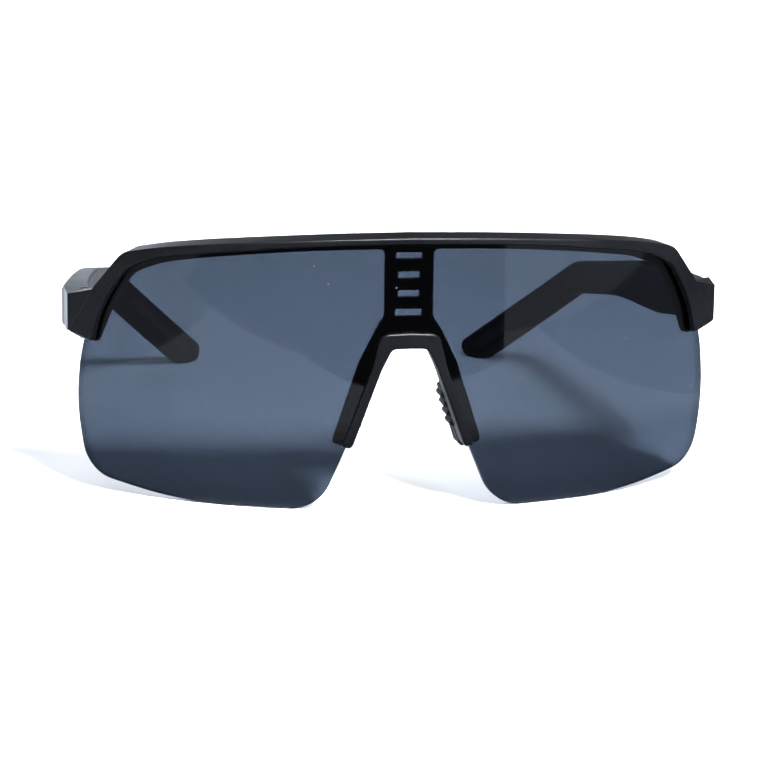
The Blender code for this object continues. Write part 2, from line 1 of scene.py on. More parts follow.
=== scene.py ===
"""How the wraparound sport sunglasses look: fine meshes, materials, light and camera.

Sizes of the object, the camera's place and the reflection cards are in millimetres, and those of
the floor, the backdrop and the lamps are in metres.  The front is drawn flat, as (across, height,
depth), and rolled round the lens's vertical cylinder.  Depth 0 is the lens's front face, and depth
grows towards the wearer.  A temple is drawn as (across, back, height), with back measured from the
lens's front.
"""
import json
import math

import bmesh
import bpy
from mathutils import Matrix, Vector


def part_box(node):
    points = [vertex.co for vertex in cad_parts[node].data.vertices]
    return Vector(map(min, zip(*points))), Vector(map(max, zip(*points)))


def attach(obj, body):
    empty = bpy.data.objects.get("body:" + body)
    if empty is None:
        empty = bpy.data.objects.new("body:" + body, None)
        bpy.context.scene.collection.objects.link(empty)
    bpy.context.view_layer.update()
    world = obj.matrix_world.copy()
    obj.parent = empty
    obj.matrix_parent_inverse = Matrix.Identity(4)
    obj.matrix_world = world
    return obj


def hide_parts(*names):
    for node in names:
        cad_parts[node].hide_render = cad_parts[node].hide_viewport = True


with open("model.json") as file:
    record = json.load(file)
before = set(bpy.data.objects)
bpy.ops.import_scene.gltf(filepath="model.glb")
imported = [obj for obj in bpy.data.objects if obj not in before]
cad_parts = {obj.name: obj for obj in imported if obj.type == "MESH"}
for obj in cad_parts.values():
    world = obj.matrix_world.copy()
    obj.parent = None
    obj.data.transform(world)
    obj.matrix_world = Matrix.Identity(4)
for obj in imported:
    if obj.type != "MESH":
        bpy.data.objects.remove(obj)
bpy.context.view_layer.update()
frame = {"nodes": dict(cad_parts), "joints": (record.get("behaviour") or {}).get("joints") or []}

MM = 0.001
FRONT_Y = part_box("shield_lens")[0].y / MM   # the lens's front centre, in the frame's own place
LENS_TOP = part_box("shield_lens")[1].z / MM
FRAME_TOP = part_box("brow_frame")[1].z / MM
TEMPLE_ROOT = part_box("temple_right")[0].y / MM - FRONT_Y
HINGE = Vector(frame["joints"][0]["pos_m"]) / MM - Vector((0, FRONT_Y, 0))

GAP = 0.3                       # room between pieces that don't touch
LENS_RADIUS = 112.3
LENS_THICKNESS = 2.0
STRIP = 1.0                     # width of the strips that the rolled pieces are sliced into
SOFT_POINTS = 4                 # segments round a softened edge
WELD = 1e-4                     # points nearer than this become one
SMALL_FACETS = 16               # facets of a thin rod

# Depths of the frame's faces, and of the nose bridge's
FRAME_FRONT, FRAME_BACK = -2.0, 4.3
GROOVE_FRONT, GROOVE_BACK = -GAP, LENS_THICKNESS + GAP
BRIDGE_FRONT, FLANGE_BACK = -1.5, 3.9

# Nose legs: they run down and out from the arch
LEG_TOP = Vector((5.2, 35.3))
LEG_SLOPE = math.radians(19.7)
LEG_LENGTH = 22.8


# ---------------------------------------------------------------- outlines

def fillet(before, corner, after, radius, step=5.0):
    """Points of an arc that rounds one corner of an outline."""
    to_before, to_after = (before - corner).normalized(), (after - corner).normalized()
    half = to_before.angle(to_after) / 2
    reach = min(radius / math.tan(half), (before - corner).length * 0.49, (after - corner).length * 0.49)
    radius = reach * math.tan(half)
    centre = corner + (to_before + to_after).normalized() * (radius / math.sin(half))
    start = corner + to_before * reach - centre
    turn = math.pi - 2 * half
    if start.x * (corner - centre).y - start.y * (corner - centre).x < 0:
        turn = -turn
    count = max(4, math.ceil(abs(math.degrees(turn)) / step))
    return [centre + Matrix.Rotation(turn * k / count, 2) @ start for k in range(count + 1)]


def rounded(corners, closed=True):
    """An outline from (x, y) or (x, y, radius) corners, with its corners rounded."""
    points = [Vector(corner[:2]) for corner in corners]
    outline = []
    for index, corner in enumerate(corners):
        open_end = not closed and index in (0, len(corners) - 1)
        if len(corner) == 2 or open_end:
            outline.append(points[index])
            continue
        before, after = points[index - 1], points[(index + 1) % len(points)]
        outline += fillet(before, points[index], after, corner[2])
    return outline


def both_sides(half):
    """Close an outline drawn on the right of the centre line with its mirror image."""
    left = [Vector((-point.x, point.y)) for point in reversed(half)]
    whole = half + left
    return [p for i, p in enumerate(whole) if (p - whole[i - 1]).length > WELD]


def on_leg(along, across):
    """A point of the right nose leg, from how far down it and how far out across it."""
    down = Vector((math.sin(LEG_SLOPE), -math.cos(LEG_SLOPE)))
    out = Vector((math.cos(LEG_SLOPE), math.sin(LEG_SLOPE)))
    return LEG_TOP + down * along + out * across


def even(path, count):
    """A path cut into pieces of one length."""
    lengths = [0.0]
    for start, end in zip(path, path[1:]):
        lengths.append(lengths[-1] + (end - start).length)
    points, index = [], 0
    for k in range(count + 1):
        at = lengths[-1] * k / count
        while index < len(path) - 2 and lengths[index + 1] < at:
            index += 1
        share = (at - lengths[index]) / max(lengths[index + 1] - lengths[index], 1e-9)
        points.append(path[index].lerp(path[index + 1], min(share, 1.0)))
    return points


def spread(corners, turn, counts):
    """Even points of a path from the centre line to its end, with the corner at a set place."""
    path = rounded(corners, closed=False)
    corner = Vector(corners[turn][:2])
    split = min(range(len(path)), key=lambda k: (path[k] - corner).length)
    return even(path[:split + 1], counts[0]) + even(path[split:], counts[1])[1:]


def smooth_value(table, at):
    """Read a smooth curve through (position, value) pairs."""
    index = max(k for k in range(len(table) - 1) if k == 0 or table[k][0] <= at)
    (x0, y0), (x1, y1) = table[index], table[index + 1]
    before = table[max(index - 1, 0)]
    after = table[min(index + 2, len(table) - 1)]
    slope0 = (y1 - before[1]) / (x1 - before[0])
    slope1 = (after[1] - y0) / (after[0] - x0)
    span, t = x1 - x0, (at - x0) / (x1 - x0)
    return ((2 * t ** 3 - 3 * t ** 2 + 1) * y0 + (t ** 3 - 2 * t ** 2 + t) * span * slope0
            + (3 * t ** 2 - 2 * t ** 3) * y1 + (t ** 3 - t ** 2) * span * slope1)


# ---------------------------------------------------------------- mesh tools

def add_object(name, mesh):
    made = bpy.data.objects.new(name, mesh)
    bpy.context.scene.collection.objects.link(made)
    return made


def edit(target, change):
    """Run a change on an object's mesh."""
    work = bmesh.new()
    work.from_mesh(target.data)
    change(work)
    work.to_mesh(target.data)
    work.free()
    return target


def bake(target):
    """Replace an object by the mesh it shows, with its modifiers or its curve worked out."""
    graph = bpy.context.evaluated_depsgraph_get()
    mesh = bpy.data.meshes.new_from_object(target.evaluated_get(graph))
    name = target.name
    bpy.data.objects.remove(target, do_unlink=True)
    return add_object(name, mesh)


def plate(name, outlines, near, far, edge=0.0):
    """A flat plate with the given outline and holes, between two depths, with rounded edges."""
    curve = bpy.data.curves.new(name, "CURVE")
    curve.dimensions = "2D"
    curve.fill_mode = "BOTH"
    curve.extrude = (far - near) / 2 - edge
    curve.bevel_depth = edge
    curve.bevel_resolution = 2
    curve.offset = -edge
    for outline in outlines:
        spline = curve.splines.new("POLY")
        spline.points.add(len(outline) - 1)
        for point, place in zip(spline.points, outline):
            point.co = (place.x, place.y, 0, 1)
        spline.use_cyclic_u = True
    made = bake(add_object(name, curve))

    def weld_and_lift(work):
        bmesh.ops.remove_doubles(work, verts=work.verts, dist=WELD)
        bmesh.ops.translate(work, verts=work.verts, vec=(0, 0, (near + far) / 2))
        bmesh.ops.recalc_face_normals(work, faces=work.faces)
    return edit(made, weld_and_lift)


def box(name, low, high, edge=0.0):
    """A box between two corners, with rounded edges."""
    made = add_object(name, bpy.data.meshes.new(name))
    low, high = Vector(low), Vector(high)

    def build(work):
        bmesh.ops.create_cube(work, size=1.0)
        bmesh.ops.scale(work, verts=work.verts, vec=high - low)
        bmesh.ops.translate(work, verts=work.verts, vec=(low + high) / 2)
        if edge:
            bmesh.ops.bevel(work, geom=work.edges[:], offset=edge, segments=3, profile=0.5,
                            affect="EDGES")
    return edit(made, build)


def rod(name, start, end, radius, facets=32):
    """A round rod from one point to another."""
    made = add_object(name, bpy.data.meshes.new(name))
    start, end = Vector(start), Vector(end)
    turn = (end - start).to_track_quat("Z", "Y").to_matrix().to_4x4()

    def build(work):
        bmesh.ops.create_cone(work, cap_ends=True, segments=facets, radius1=radius, radius2=radius,
                              depth=(end - start).length)
        bmesh.ops.transform(work, verts=work.verts,
                            matrix=Matrix.Translation((start + end) / 2) @ turn)
    return edit(made, build)


def combine(target, others, operation):
    """Join pieces to a solid, or cut them out of it."""
    for other in others:
        modifier = target.modifiers.new(operation.title(), "BOOLEAN")
        modifier.operation = operation
        modifier.solver = "EXACT"
        modifier.object = other
        target = bake(target)
        bpy.data.objects.remove(other, do_unlink=True)
    return edit(target, lambda work: bmesh.ops.remove_doubles(work, verts=work.verts, dist=WELD))


def join(target, *others):
    return combine(target, others, "UNION")


def cut(target, *others):
    return combine(target, others, "DIFFERENCE")


def mirrored(target, name):
    """The left-hand twin of a right-hand piece."""
    mesh = target.data.copy()
    mesh.transform(Matrix.Scale(-1, 4, Vector((1, 0, 0))))
    mesh.flip_normals()
    return add_object(name, mesh)


def both_hands(pieces):
    return pieces + [mirrored(piece, piece.name + "_left") for piece in pieces]


def roll(point):
    """Roll a point of the flat front round the lens's cylinder."""
    across, height, depth = point
    angle, radius = across / LENS_RADIUS, LENS_RADIUS - depth
    return Vector((radius * math.sin(angle), LENS_RADIUS - radius * math.cos(angle), height))


def roll_front(target):
    """Slice a flat solid into narrow strips and roll it."""
    def change(work):
        low = min(vertex.co.x for vertex in work.verts)
        high = max(vertex.co.x for vertex in work.verts)
        for index in range(math.ceil(low / STRIP), math.floor(high / STRIP) + 1):
            geometry = work.verts[:] + work.edges[:] + work.faces[:]
            bmesh.ops.bisect_plane(work, geom=geometry, plane_co=(index * STRIP, 0, 0),
                                   plane_no=(1, 0, 0), dist=WELD)
        for vertex in work.verts:
            vertex.co = roll(vertex.co)
        bmesh.ops.reverse_faces(work, faces=work.faces)
    return edit(target, change)


def soften(corners):
    """A ring through (point, radius) corners, each of them rounded off."""
    ring = []
    for index, (corner, radius) in enumerate(corners):
        before, after = corners[index - 1][0], corners[(index + 1) % len(corners)][0]
        start = corner + (before - corner).normalized() * min(radius, (before - corner).length * 0.45)
        end = corner + (after - corner).normalized() * min(radius, (after - corner).length * 0.45)
        for k in range(SOFT_POINTS + 1):
            share = k / SOFT_POINTS
            ring.append(start.lerp(corner, share).lerp(corner.lerp(end, share), share))
    return ring


def skin(name, rings):
    """A closed solid through a row of rings with equal numbers of points."""
    made = add_object(name, bpy.data.meshes.new(name))

    def build(work):
        rows = [[work.verts.new(point) for point in ring] for ring in rings]
        for row, onward in zip(rows, rows[1:]):
            for k, vertex in enumerate(row):
                work.faces.new((row[k - 1], vertex, onward[k], onward[k - 1]))
        for row in (rows[0], rows[-1]):
            bmesh.ops.triangulate(work, faces=[work.faces.new(row)])
        bmesh.ops.remove_doubles(work, verts=work.verts, dist=WELD)
        bmesh.ops.recalc_face_normals(work, faces=work.faces)
    return edit(made, build)


CAP_ANGLES = [share * math.pi / 2 for share in (0.35, 0.7, 1.0)]   # steps of a rim's rounded end


def channel(name, paths, section, end_radius=0.5):
    """A rim that follows paths of the flat front on both sides of the centre line.

    The section is a list of (path, depth, radius) corners.  The ends are rounded over.
    """
    count = len(section)
    rows = []
    for k in range(len(paths[section[0][0]])):
        rows.append([(Vector((*paths[key][k], depth)), radius) for key, depth, radius in section])
    last, before = rows[-1], rows[-2]
    middle = sum((corner for corner, _ in last), Vector()) / count
    for angle in CAP_ANGLES:
        out = end_radius * math.sin(angle)
        inset = end_radius * (1 - math.cos(angle))
        row = []
        for (corner, radius), (behind, _) in zip(last, before):
            onward = (corner - behind).normalized() * out
            inward = (middle - corner).normalized() * inset
            row.append((corner + onward + inward, radius))
        rows.append(row)
    right = [soften(row) for row in rows]
    left = [[Vector((-p.x, p.y, p.z)) for p in ring] for ring in reversed(right[1:])]
    rings = [[roll(p) for p in ring] for ring in left + right]
    return skin(name, rings)


# ---------------------------------------------------------------- lens and frame

NOTCH_TOP, NOTCH_LENGTH = 38.6, 20.6
NOTCH_SIDE = 1.2                # how far out across the nose leg the notch's edge runs
LENS_EDGE = 0.22
FACES_OUT = 0.5                 # a face turned less towards or away from the axis is the cut edge


def lens_outline():
    """Right half: up the nose notch, round the lobe, up the side and along the brow."""
    notch, foot = on_leg(0, NOTCH_SIDE), on_leg(NOTCH_LENGTH, NOTCH_SIDE)
    half = [(0, NOTCH_TOP), (notch.x - 1.4, NOTCH_TOP, 2.2), (foot.x, foot.y, 60), (20.1, 0, 14.5),
            (34, 0, 90), (46, 0, 120), (58, 1.25, 160), (76.3, 4.2, 9.5), (79.65, 19.5, 60),
            (77.9, 34.0, 60), (73.6, 43.6, 40), (66.4, 54.6, 9), (57.5, 57.8, 120),
            (44, 59.5, 300), (30, 60.9, 300), (15, 61.9, 300), (0, LENS_TOP)]
    return both_sides(rounded(half, closed=False))


def make_lens():
    return roll_front(plate("lens_smoke", [lens_outline()], 0.0, LENS_THICKNESS, edge=LENS_EDGE))


def finish_edge(lens, material):
    """Give the lens's cut edge, whose faces look along the sheet, a darker material of its own."""
    lens.data.materials.append(material)
    axis = Vector((0, FRONT_Y + LENS_RADIUS, 0)) * MM
    for face in lens.data.polygons:
        outward = (face.center - axis) * Vector((1, 1, 0))
        if abs(face.normal.dot(outward.normalized())) < FACES_OUT:
            face.material_index = 1


RIM_COUNTS = (96, 40)           # steps before and after the corner of the brow
TOP_FALL = 0.5                  # how far the brow's top slopes down to its front edge

RIM_OUTER = [(0, FRAME_TOP), (15, 62.8, 500), (30, 61.9, 500), (45, 60.5, 500), (57, 58.9, 200),
             (65.8, 57.0, 6), (74.0, 47.7, 12), (80.6, 37.4)]
RIM_GROOVE = [(0, 62.5), (15, 62.2, 500), (30, 61.2, 500), (44, 59.8, 500), (57.5, 58.1, 200),
              (66.4, 54.9, 8), (73.9, 43.8, 40), (78.1, 35.4)]
RIM_FRONT = [(0, 61.1), (15, 60.9, 500), (30, 59.7, 500), (44, 57.9, 300), (57.5, 56.0, 60),
             (65.2, 52.4, 8), (69.6, 46.0, 60), (72.4, 40.7, 60), (73.6, 35.6)]
RIM_REAR = [(0, 59.4), (15, 59.2, 500), (30, 58.2, 500), (44, 56.6, 300), (57.5, 54.4, 60),
            (65.6, 51.0, 8), (70.6, 44.3, 60), (73.9, 37.4, 30), (75.4, 34.4)]


def make_rim():
    paths = {"outer": spread(RIM_OUTER, 5, RIM_COUNTS), "groove": spread(RIM_GROOVE, 5, RIM_COUNTS),
             "front": spread(RIM_FRONT, 5, RIM_COUNTS), "rear": spread(RIM_REAR, 5, RIM_COUNTS)}
    paths["brow"] = [point + (inner - point).normalized() * TOP_FALL
                     for point, inner in zip(paths["outer"], paths["front"])]
    section = [("brow", FRAME_FRONT, 0.45), ("outer", FRAME_BACK, 0.9), ("rear", FRAME_BACK, 0.6),
               ("rear", GROOVE_BACK, 0.15), ("groove", GROOVE_BACK, 0.05),
               ("groove", GROOVE_FRONT, 0.05), ("front", GROOVE_FRONT, 0.15),
               ("front", FRAME_FRONT, 0.75)]
    return channel("brow_rim", paths, section)


SPINE_HALF, SPINE_BOTTOM = 5.6, 41.9
TONGUE = (2.7, 38.9, 3.2, 4.1)  # half width, lowest height, nearest and furthest depth
TONGUE_TOP, TONGUE_EDGE = 43.0, 0.15
# Each window's middle height, half width and height from edge to edge
WINDOWS = ((57.8, 3.05, 1.6), (53.45, 2.5, 1.7), (49.2, 2.5, 1.7), (44.9, 3.1, 1.8))
WINDOW_CORNER = 0.35
SPINE_EDGE, SPINE_INSET = 0.18, 0.02    # rounding, and how far its faces are set in from the rim's


def make_spine():
    """The vented bar behind the lens, with the tongue that the nose bridge clasps."""
    half = [(0, 61.0), (8.2, 61.0), (8.2, 59.3), (SPINE_HALF, 59.25, 1.6), (SPINE_HALF, 43.9, 3),
            (7.1, SPINE_BOTTOM), (0, SPINE_BOTTOM)]
    windows = []
    for height, half_width, tall in WINDOWS:
        low, high = height - tall / 2, height + tall / 2
        corners = ((-half_width, low), (half_width, low), (half_width, high), (-half_width, high))
        windows.append(rounded([(*corner, WINDOW_CORNER) for corner in corners]))
    spine = plate("spine", [both_sides(rounded(half, closed=False))] + windows,
                  GROOVE_BACK + SPINE_INSET, FRAME_BACK - SPINE_INSET, edge=SPINE_EDGE)
    width, low, near, far = TONGUE
    tongue = box("tongue", (-width, low, near), (width, TONGUE_TOP, far), TONGUE_EDGE)
    return roll_front(join(spine, tongue))


ENDPIECE_INNER, ENDPIECE_OUTER = 69.1, 77.0
CUT_LOW, CUT_HIGH, CUT_INNER, CUT_OUTER = 30.0, 50.0, 60.0, 90.0    # well past what is cut
BLOCK_LOW, BLOCK_HIGH, BLOCK_FRONT = 36.4, 45.0, 28.5
WEDGE_FRONT, WEDGE_BACK = FRAME_FRONT + 0.03, FRAME_BACK - 0.05     # set in a hair from the rim's
SIDE_FRONT, SIDE_REAR = (74.65, 22.0), (75.55, 36.0)
BUTT_FACE = TEMPLE_ROOT - GAP
ENDPIECE_EDGE, ENDPIECE_SHARP = 0.3, math.radians(20)   # rounding, and the edges that get it
ENDPIECE_FLAT = math.radians(1.5)                       # edges flatter than this are dissolved first
POCKET_RADIUS = 1.75
RECESS_ROOM, RECESS_FLOOR = 0.2, 70.05                  # room round a leaf, and how far out it lies
HOLE_START, HOLE_RADIUS = 69.0, 0.6


def make_endpiece():
    """The right endpiece: a wedge outside the rim's end, and the block behind that holds the hinge."""
    outline = rounded([(72.0, 47.6), (79.95, 45.5, 0.6), (86.5, 45.5), (86.5, 37.0), (80.4, 37.0),
                       (75.0, 38.0)])
    wedge = roll_front(plate("endpiece_right", [outline], WEDGE_FRONT, WEDGE_BACK))
    plan = [Vector(p) for p in ((ENDPIECE_INNER, BLOCK_FRONT), (72.0, BLOCK_FRONT), (74.2, 27.6),
                                (ENDPIECE_OUTER, 29.5), (ENDPIECE_OUTER, BUTT_FACE),
                                (ENDPIECE_INNER, BUTT_FACE))]
    block = plate("block", [plan], BLOCK_LOW, BLOCK_HIGH)
    trim_plan = [Vector(p) for p in (SIDE_FRONT, SIDE_REAR, (CUT_OUTER, SIDE_REAR[1]),
                                     (CUT_OUTER, SIDE_FRONT[1]))]
    made = cut(join(wedge, block), plate("trim", [trim_plan], CUT_LOW, CUT_HIGH))

    def soften_edges(work):
        bmesh.ops.dissolve_limit(work, angle_limit=ENDPIECE_FLAT, verts=work.verts, edges=work.edges)
        sharp = [edge for edge in work.edges
                 if edge.is_manifold and edge.calc_face_angle(0) > ENDPIECE_SHARP]
        bmesh.ops.bevel(work, geom=sharp, offset=ENDPIECE_EDGE, segments=3, profile=0.5,
                        affect="EDGES", clamp_overlap=True)
    return edit(made, soften_edges)


def hinge_pocket():
    """Room round the right hinge's knuckles, open towards the wearer."""
    barrel = rod("pocket", (HINGE.x, HINGE.y, CUT_LOW), (HINGE.x, HINGE.y, CUT_HIGH), POCKET_RADIUS)
    mouth = box("mouth", (CUT_INNER, HINGE.y - POCKET_RADIUS, CUT_LOW),
                (HINGE.x, HINGE.y + POCKET_RADIUS, CUT_HIGH))
    return join(barrel, mouth)


def leaf_recess(leaf, screws):
    """Room for a hinge leaf and its screws in the right inner face."""
    low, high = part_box(leaf)
    low, high = low / MM - Vector((0, FRONT_Y, 0)), high / MM - Vector((0, FRONT_Y, 0))
    in_front = high.y < HINGE.y + 2
    toward = low.y - RECESS_ROOM if in_front else HINGE.y
    away = HINGE.y if in_front else high.y + RECESS_ROOM
    recess = box("recess", (CUT_INNER, toward, low.z - RECESS_ROOM),
                 (RECESS_FLOOR, away, high.z + RECESS_ROOM))
    holes = []
    for screw in screws:
        start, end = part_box(screw)
        middle = (start + end) / 2 / MM - Vector((0, FRONT_Y, 0))
        holes.append(rod("hole", (HOLE_START, middle.y, middle.z),
                         (end.x / MM + GAP, middle.y, middle.z), HOLE_RADIUS, SMALL_FACETS))
    return [recess] + holes


def make_frame():
    frame_leaf = leaf_recess("hinge_frame_leaf_right", ["frame_leaf_screw_right"])
    endpieces = both_hands([make_endpiece()])
    whole = join(make_rim(), make_spine(), *endpieces)
    return cut(whole, *both_hands([hinge_pocket()] + frame_leaf))


# ---------------------------------------------------------------- nose bridge and pads

BRIDGE_COUNTS = (10, 44)        # steps across half the arch, and down a leg
BRIDGE_END = 1.2                # rounding of the feet
SEAM = 0.06                     # what is left of the gap where the bridge meets the spine
CLASP_LOW, CLASP_HIGH, CLASP_EDGE = (-4.2, 37.9, 3.0), (4.2, 41.3, 5.2), 0.3
SLOT_TOP = 45.0
FIN_START, FIN_END = 9.6, 22.0      # along the leg
FIN_INNER, FIN_OUTER = 2.2, 3.3     # across it
FIN_FRONT, FIN_BACK = 3.0, 8.6
PAD_START, PAD_END, PAD_FACE, PAD_THICKNESS, PAD_BACK = 8.6, 23.4, -0.1, 2.0, 9.4
RIB_FIRST, RIB_PITCH, RIB_COUNT, RIB_RADIUS = 10.6, 2.3, 4, 0.75
PEGS_ALONG, PEG_DEPTH, PEG_RADIUS, PEG_ROOM = (12.6, 19.0), 6.4, 0.8, 0.15
RIB_STEPS, RIB_HEIGHT = 12, RIB_RADIUS * 0.8


def leg_plate(name, start, end, near, far, front, back):
    """A straight bar down the right leg."""
    corners = [on_leg(start, near), on_leg(start, far), on_leg(end, far), on_leg(end, near)]
    return plate(name, [rounded([(*corner, 0.5) for corner in corners])], front, back, edge=0.15)


def pad_pegs(name, radius, start, end):
    """The two pegs that hold a right nose pad, as rods across the leg."""
    rods = []
    for index, along in enumerate(PEGS_ALONG):
        points = [(*on_leg(along, across), PEG_DEPTH) for across in (start, end)]
        rods.append(rod("%s_%d" % (name, index), *points, radius, SMALL_FACETS))
    return rods


def tongue_slot():
    """Room for the spine's tongue, in the flat front."""
    width, low, near, far = TONGUE
    return box("slot", (-width - GAP, low - GAP, near - GAP), (width + GAP, SLOT_TOP, far + GAP))


def make_bridge():
    """The arch and legs over the lens's notch, the clasp for the tongue and the pads' fins."""
    foot = LEG_LENGTH - 0.5
    inner = [(0, 37.4), (3.9, 37.3, 1.6), tuple(on_leg(3.0, 0)), tuple(on_leg(foot - 1.3, 0))]
    lip = [(0, 41.0), (6.5, 40.7, 2.4), tuple(on_leg(3.0, 2.2)), tuple(on_leg(foot - 1.1, 2.2))]
    groove = [(0, 38.3), (4.4, 38.3, 2.0), tuple(on_leg(3.0, 0.9)), tuple(on_leg(foot - 0.6, 0.9))]
    top = SPINE_BOTTOM - SEAM
    flange = [(0, top), (7.2, top, 0.8), (*on_leg(3.5, 5.2), 8), tuple(on_leg(foot - 0.3, 4.8))]
    paths = {"inner": spread(inner, 1, BRIDGE_COUNTS), "lip": spread(lip, 1, BRIDGE_COUNTS),
             "groove": spread(groove, 1, BRIDGE_COUNTS), "flange": spread(flange, 1, BRIDGE_COUNTS)}
    section = [("lip", BRIDGE_FRONT, 0.6), ("lip", GROOVE_FRONT, 0.15), ("groove", GROOVE_FRONT, 0.05),
               ("groove", GROOVE_BACK, 0.05), ("flange", GROOVE_BACK, 0.2), ("flange", FLANGE_BACK, 0.5),
               ("inner", FLANGE_BACK, 0.4), ("inner", BRIDGE_FRONT, 0.8)]
    bridge = channel("nose_bridge_shell", paths, section, end_radius=BRIDGE_END)
    clasp = roll_front(cut(box("clasp", CLASP_LOW, CLASP_HIGH, CLASP_EDGE), tongue_slot()))
    fin = leg_plate("fin", FIN_START, FIN_END, FIN_INNER, FIN_OUTER, FIN_FRONT, FIN_BACK)
    holes = pad_pegs("peg_hole", PEG_RADIUS + PEG_ROOM, FIN_INNER - 0.3, FIN_OUTER + 0.9)
    fin = roll_front(cut(fin, *holes))
    slot = roll_front(tongue_slot())
    return cut(join(bridge, clasp, *both_hands([fin])), slot)


def make_pad():
    """The right nose pad: a soft block with cross ribs on its nose side."""
    face = [(*on_leg(PAD_START, PAD_FACE), 0.6)]
    for index in range(RIB_COUNT):
        middle = RIB_FIRST + RIB_PITCH * index
        for k in range(RIB_STEPS + 1):
            angle = math.pi * k / RIB_STEPS
            face.append(tuple(on_leg(middle - RIB_RADIUS * math.cos(angle),
                                     PAD_FACE - RIB_HEIGHT * math.sin(angle))))
    face += [(*on_leg(PAD_END, PAD_FACE), 1.2), (*on_leg(PAD_END, PAD_FACE + PAD_THICKNESS), 0.8),
             (*on_leg(PAD_START, PAD_FACE + PAD_THICKNESS), 0.8)]
    pad = plate("nose_pad_soft_right", [rounded(face)], FLANGE_BACK + GAP, PAD_BACK, edge=0.2)
    pegs = pad_pegs("peg", PEG_RADIUS, PAD_FACE + PAD_THICKNESS - 0.6, FIN_OUTER)
    return roll_front(join(pad, *pegs))


# ---------------------------------------------------------------- temples

TEMPLE_END = 155.4              # where the tip's end would be if it weren't rounded
INNER_PLAN = ((TEMPLE_ROOT, 69.1), (46, 69.1), (60, 67.7), (75, 65.9), (100, 62.5), (114, 60.5),
              (122, 58.6), (129, 53.9), (TEMPLE_END, 34.0))
OUTER_PLAN = ((TEMPLE_ROOT, 75.5), (38.5, 75.8), (46, 75.0), (60, 72.9), (75, 70.7), (100, 67.1),
              (114, 65.1), (122, 63.3), (129, 58.8), (TEMPLE_END, 39.0))
TIP_FALL = 0.865                # drop per millimetre of run behind the elbow
TIP_ROUND, TIP_STEPS = 1.8, 9   # rounding of the tip as seen from above
ROOT_STEPS = (0.001, 0.06, 0.2, 0.5)    # the last one starts the even rings
FOOT_START = 149.7              # where the sloping underside meets the table
GRIP_START, GRIP_END, GRIP_DEPTH, GRIP_PROUD = 127.5, 148.5, 0.8, 0.25
GRIP_LEAN, GRIP_EDGE = 1.2, 0.2
TEMPLE_STEP = 0.8
TEMPLE_EDGE = 1.1               # rounding of the temple's long edges
EDGE_SHARE = 0.42               # and the most of its height that each of them takes up
ROOT_ROUND = 0.2


def underside(back, above=0.0):
    """Height of the sloping underside behind the elbow."""
    return max(0.0, (FOOT_START - back) * TIP_FALL) + above


def temple_outline():
    return rounded([(TEMPLE_ROOT, 44.8), (60, 43.1, 90), (76, 41.2, 90), (121.7, 32.1, 15),
                    (TEMPLE_END, 2.9, 1.8), (152.6, 0.0, 1.6), (FOOT_START, 0.0),
                    (122.6, underside(122.6), 9), (88, 29.9, 90), (71, 30.9, 26), (58, 31.8, 20),
                    (TEMPLE_ROOT, 36.1)])


def heights(outline, back):
    """Lowest and highest point of a closed outline at one distance back."""
    found = []
    for start, end in zip(outline, outline[1:] + outline[:1]):
        if min(start.x, end.x) <= back <= max(start.x, end.x) and abs(end.x - start.x) > 1e-9:
            found.append(start.y + (end.y - start.y) * (back - start.x) / (end.x - start.x))
    return min(found), max(found)


def round_off(depth, radius):
    """How far a quarter-round end pulls a side in, at a depth from that end."""
    short = radius - min(depth, radius)
    return radius - math.sqrt(radius ** 2 - short ** 2)


def make_temple():
    """The right temple, with its hinge pocket, its leaf's recess and its inlay's recess."""
    outline = temple_outline()
    tip = max(point.x for point in outline) - 0.005
    steps = int((tip - TIP_ROUND - TEMPLE_ROOT) / TEMPLE_STEP)
    backs = [TEMPLE_ROOT + inset for inset in ROOT_STEPS[:-1]]
    backs += [TEMPLE_ROOT + ROOT_STEPS[-1] + TEMPLE_STEP * k for k in range(steps)]
    backs += [tip - TIP_ROUND * (1 - math.sin(math.pi / 2 * k / TIP_STEPS)) for k in range(1, TIP_STEPS + 1)]
    rings = []
    for back in backs:
        low, high = heights(outline, back)
        inner, outer = smooth_value(INNER_PLAN, back), smooth_value(OUTER_PLAN, back)
        root = round_off(back - TEMPLE_ROOT, ROOT_ROUND)
        inset = root + round_off(tip - back, TIP_ROUND)
        inner, outer, low, high = inner + inset, outer - inset, low + root, high - root
        edge = min(TEMPLE_EDGE, (high - low) * EDGE_SHARE)
        rings.append(soften([(Vector((inner, back, low)), edge), (Vector((outer, back, low)), edge),
                             (Vector((outer, back, high)), edge), (Vector((inner, back, high)), edge)]))
    temple = skin("temple_arm_right", rings)
    recess = leaf_recess("hinge_temple_leaf_right",
                         ["temple_leaf_screw_front_right", "temple_leaf_screw_rear_right"])
    return cut(temple, hinge_pocket(), lay_inlay("inlay", GAP, -2.0, GRIP_DEPTH + GAP), *recess)


